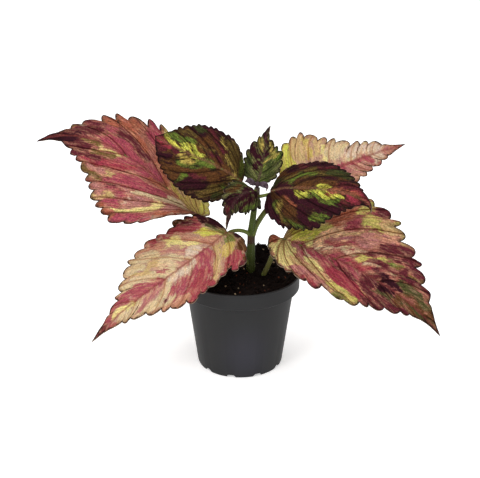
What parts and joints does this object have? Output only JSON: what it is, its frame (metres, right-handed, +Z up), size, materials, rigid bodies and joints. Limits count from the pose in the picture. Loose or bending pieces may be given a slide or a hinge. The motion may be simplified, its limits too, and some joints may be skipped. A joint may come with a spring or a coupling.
{
  "type": "potted coleus plant",
  "caption": "Young coleus with large scalloped mosaic leaves in pairs on one stem, growing in peat in a thin tapered nursery pot.",
  "frame": {"origin": "centre of the pot's flat underside, where the pot stands", "axes": "+Z up, +X towards the right-hand leaves, -Y towards the viewer's side, where the lowest leaves hang over the rim"},
  "size_m": [0.3462, 0.1947, 0.2091],
  "materials": {
    "pot": "thin injection-moulded black polypropylene, satin",
    "soil": "damp dark brown peat, crumbly and matt",
    "stem": "fleshy green stem, square in section, satin",
    "leaf_rose": "soft leaf, raspberry and salmon with green and cream splashes, satin",
    "leaf_cream": "soft leaf, cream and pink with raspberry splashes, satin",
    "leaf_dark": "soft leaf, dark maroon with lime and yellow bands, satin",
    "leaf_young": "young leaf, green with plum purple, satin"
  },
  "bodies": {
    "root": {"pot": "pot", "soil": "soil", "stem": "stem", "leaf_back_left": "leaf_rose", "leaf_front_left": "leaf_cream", "leaf_back_right": "leaf_cream", "leaf_front_right": "leaf_rose", "leaf_dark_left": "leaf_dark", "leaf_dark_right": "leaf_dark", "leaf_small_front": "leaf_young", "leaf_small_top": "leaf_young", "shoot_tip": "leaf_young"}
  },
  "joints": []
}
